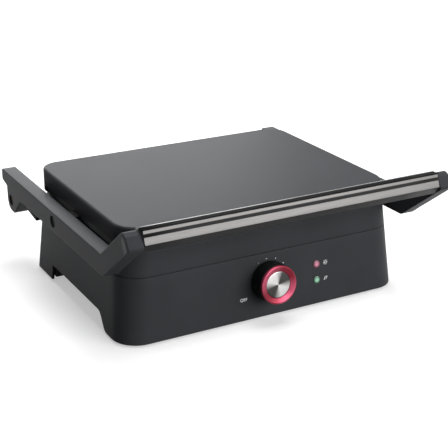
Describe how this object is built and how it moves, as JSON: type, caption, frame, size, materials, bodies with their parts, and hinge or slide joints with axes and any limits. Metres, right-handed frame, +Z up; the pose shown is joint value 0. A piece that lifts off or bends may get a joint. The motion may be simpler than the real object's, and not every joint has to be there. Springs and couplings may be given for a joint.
{
  "type": "contact grill",
  "caption": "Countertop contact grill: flared base with a ribbed plate, floating lid between cranked side arms, raised front handle, thermostat knob and signal lamps.",
  "frame": {"origin": "on the table, under the middle of the closed grill's box", "axes": "+X to the right seen from the front, front towards -Y, +Z up"},
  "size_m": [0.364, 0.3588, 0.1455],
  "materials": {
    "anthracite_plastic": "fine satin texture",
    "black_plastic": "satin",
    "coated_aluminium": "dark non-stick coating",
    "bare_aluminium": "rolled",
    "heater_steel": "heat-tinted tube",
    "brushed_strip": "brushed lengthways",
    "spun_steel": "spun",
    "red_ring": "satin metallic red",
    "red_lens": "translucent",
    "green_lens": "translucent",
    "clear_glass": "clear",
    "rubber": "matt",
    "zinc_steel": "zinc plated",
    "black_steel": "black powder coat",
    "brass_bush": "turned",
    "pale_plastic": "moulded"
  },
  "bodies": {
    "base": {"base_housing": "anthracite_plastic", "base_frame": "anthracite_plastic", "front_guard": "anthracite_plastic", "bottom_cover": "black_plastic", "rubber_feet": "rubber", "base_screws": "zinc_steel", "lower_plate": "coated_aluminium", "lower_heater": "heater_steel", "lower_reflector": "bare_aluminium", "thermal_fuse": "zinc_steel", "grease_chute": "bare_aluminium", "thermostat": "pale_plastic", "thermostat_nut": "zinc_steel", "heating_lamp_lens": "red_lens", "ready_lamp_lens": "green_lens", "neon_lamps": "clear_glass", "lamp_board": "pale_plastic", "cord_gland": "black_plastic", "terminal_block": "pale_plastic", "right_hinge_bracket": "black_steel", "left_hinge_bracket": "black_steel", "bracket_screws": "zinc_steel", "hinge_pins": "zinc_steel"},
    "arm_frame": {"hinge_bushes": "brass_bush", "right_arm": "anthracite_plastic", "left_arm": "anthracite_plastic", "right_arm_cover": "black_plastic", "left_arm_cover": "black_plastic", "arm_screws": "zinc_steel", "handle_bar": "black_plastic", "handle_core": "zinc_steel", "handle_strip_upper": "brushed_strip", "handle_strip_lower": "brushed_strip", "lid_pivot_bushes": "brass_bush"},
    "lid": {"lid_cover": "anthracite_plastic", "lid_frame": "black_plastic", "lid_screws": "zinc_steel", "lid_pivot_pins": "zinc_steel", "upper_plate": "coated_aluminium", "upper_heater": "heater_steel", "upper_reflector": "bare_aluminium"},
    "knob": {"thermostat_shaft": "zinc_steel", "knob_body": "black_plastic", "knob_ring": "red_ring", "knob_cap": "spun_steel"},
    "drip_tray": {"drip_tray": "black_plastic"}
  },
  "joints": [
    {"name": "lid_hinge", "type": "hinge", "parent": "base", "child": "arm_frame", "pos_m": [0, 0.151, 0.0735], "axis": [-1, 0, 0], "range_deg": [0, 180]},
    {"name": "lid_tilt", "type": "hinge", "parent": "arm_frame", "child": "lid", "pos_m": [0, 0.0145, 0.0934], "axis": [-1, 0, 0], "range_deg": [-2, 2]},
    {"name": "knob_turn", "type": "hinge", "parent": "base", "child": "knob", "pos_m": [0, -0.11797, 0.0408], "axis": [0, 0.9959, -0.0905], "range_deg": [0, 255]},
    {"name": "tray_slide", "type": "slide", "parent": "base", "child": "drip_tray", "axis": [0, 1, 0], "range_m": [0, 0.04]}
  ]
}
